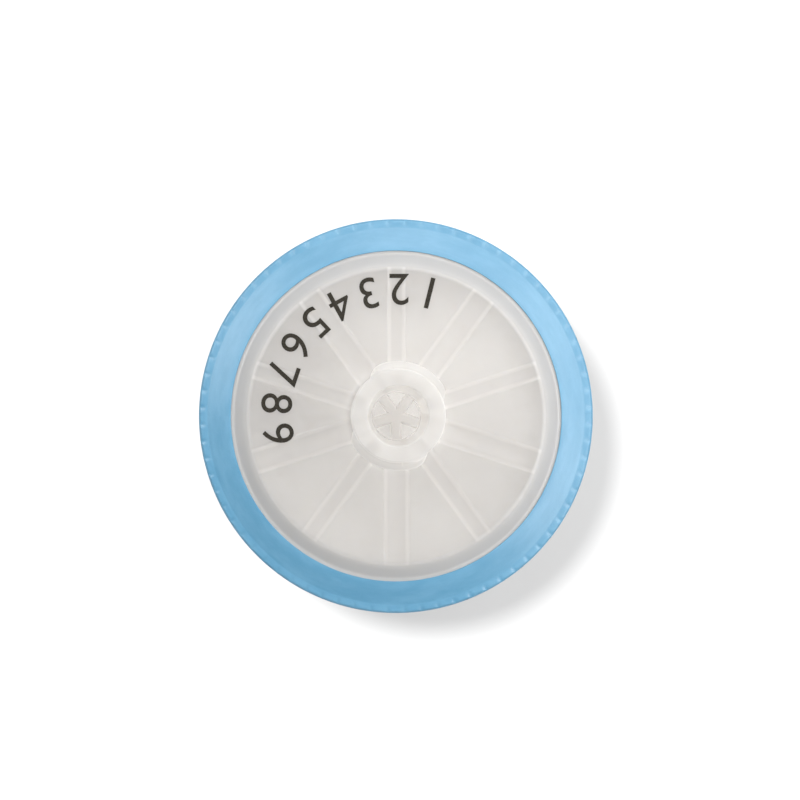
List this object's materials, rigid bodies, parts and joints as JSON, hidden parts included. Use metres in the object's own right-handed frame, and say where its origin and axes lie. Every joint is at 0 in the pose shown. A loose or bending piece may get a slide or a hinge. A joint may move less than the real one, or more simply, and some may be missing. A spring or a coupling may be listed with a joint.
{
  "type": "syringe filter",
  "caption": "Round syringe filter: translucent housing with a Luer lock inlet hub, ribs under its plate and a Luer tip outlet, clasped by a sky-blue ring with a fluted rim.",
  "frame": {"origin": "on the flow axis, in the end face of the male Luer tip, which is the lowest point", "axes": "+Z along the flow axis from the outlet tip up to the inlet hub; a wide inlet rib points along -Y"},
  "size_m": [0.03, 0.03, 0.024],
  "materials": {
    "natural_pp": "natural polypropylene, milky and translucent, satin as moulded",
    "membrane_ptfe": "white porous PTFE sheet, dull",
    "blue_pp": "sky-blue polypropylene, satin as moulded"
  },
  "bodies": {
    "root": {"inlet_housing": "natural_pp", "outlet_housing": "natural_pp", "membrane": "membrane_ptfe", "outer_ring": "blue_pp"}
  },
  "joints": []
}
